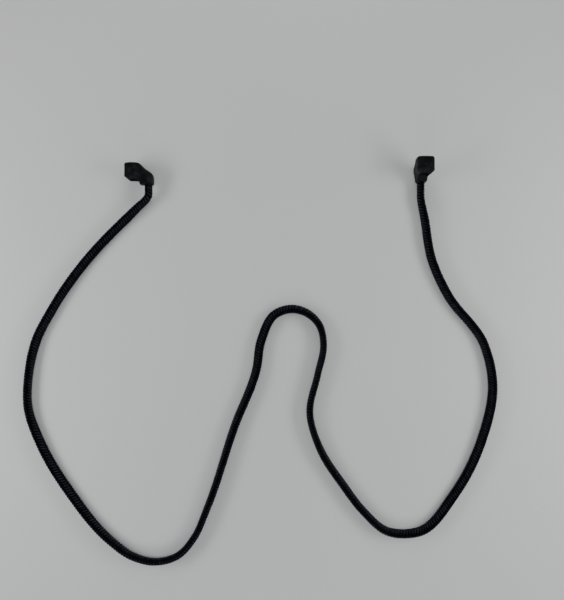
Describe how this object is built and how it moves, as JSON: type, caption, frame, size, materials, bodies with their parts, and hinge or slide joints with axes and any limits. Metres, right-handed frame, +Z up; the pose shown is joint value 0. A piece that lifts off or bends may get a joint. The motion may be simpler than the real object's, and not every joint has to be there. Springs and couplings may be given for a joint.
{
  "type": "eyeglass retainer strap",
  "caption": "Braided neck cord with a moulded rubber ring grip on each end that slides over an eyeglass temple.",
  "frame": {"origin": "on the resting surface, midway between the two grips", "axes": "+X from the left grip to the right grip, +Y towards the side the temples come in from, +Z up"},
  "size_m": [0.2467, 0.2107, 0.0144],
  "materials": {
    "braid": "braided polyester, blue-black, soft sheen",
    "core": "black filler yarn",
    "crimp": "plated crimp ring",
    "grip": "matt black moulded rubber"
  },
  "bodies": {
    "cord": {"cord_sheath": "braid", "cord_core": "core"},
    "left_end": {"left_cord_end": "braid", "left_ferrule": "crimp"},
    "left_grip_body": {"left_grip": "grip"},
    "right_end": {"right_cord_end": "braid", "right_ferrule": "crimp"},
    "right_grip_body": {"right_grip": "grip"}
  },
  "joints": [
    {"name": "left_cord_bend", "type": "hinge", "parent": "cord", "child": "left_end", "pos_m": [-0.067, -0.01085, 0.0044], "axis": [0, 0, 1], "range_deg": [-60, 60]},
    {"name": "left_grip_twist", "type": "hinge", "parent": "left_end", "child": "left_grip_body", "pos_m": [-0.067, -0.00635, 0.0044], "axis": [0, 1, 0], "range_deg": [-90, 90]},
    {"name": "right_cord_bend", "type": "hinge", "parent": "cord", "child": "right_end", "pos_m": [0.0744, -0.00915, 0.00265], "axis": [0, 0, 1], "range_deg": [-60, 60]},
    {"name": "right_grip_twist", "type": "hinge", "parent": "right_end", "child": "right_grip_body", "pos_m": [0.0744, -0.00465, 0.00265], "axis": [0, 1, 0], "range_deg": [-90, 90]}
  ]
}
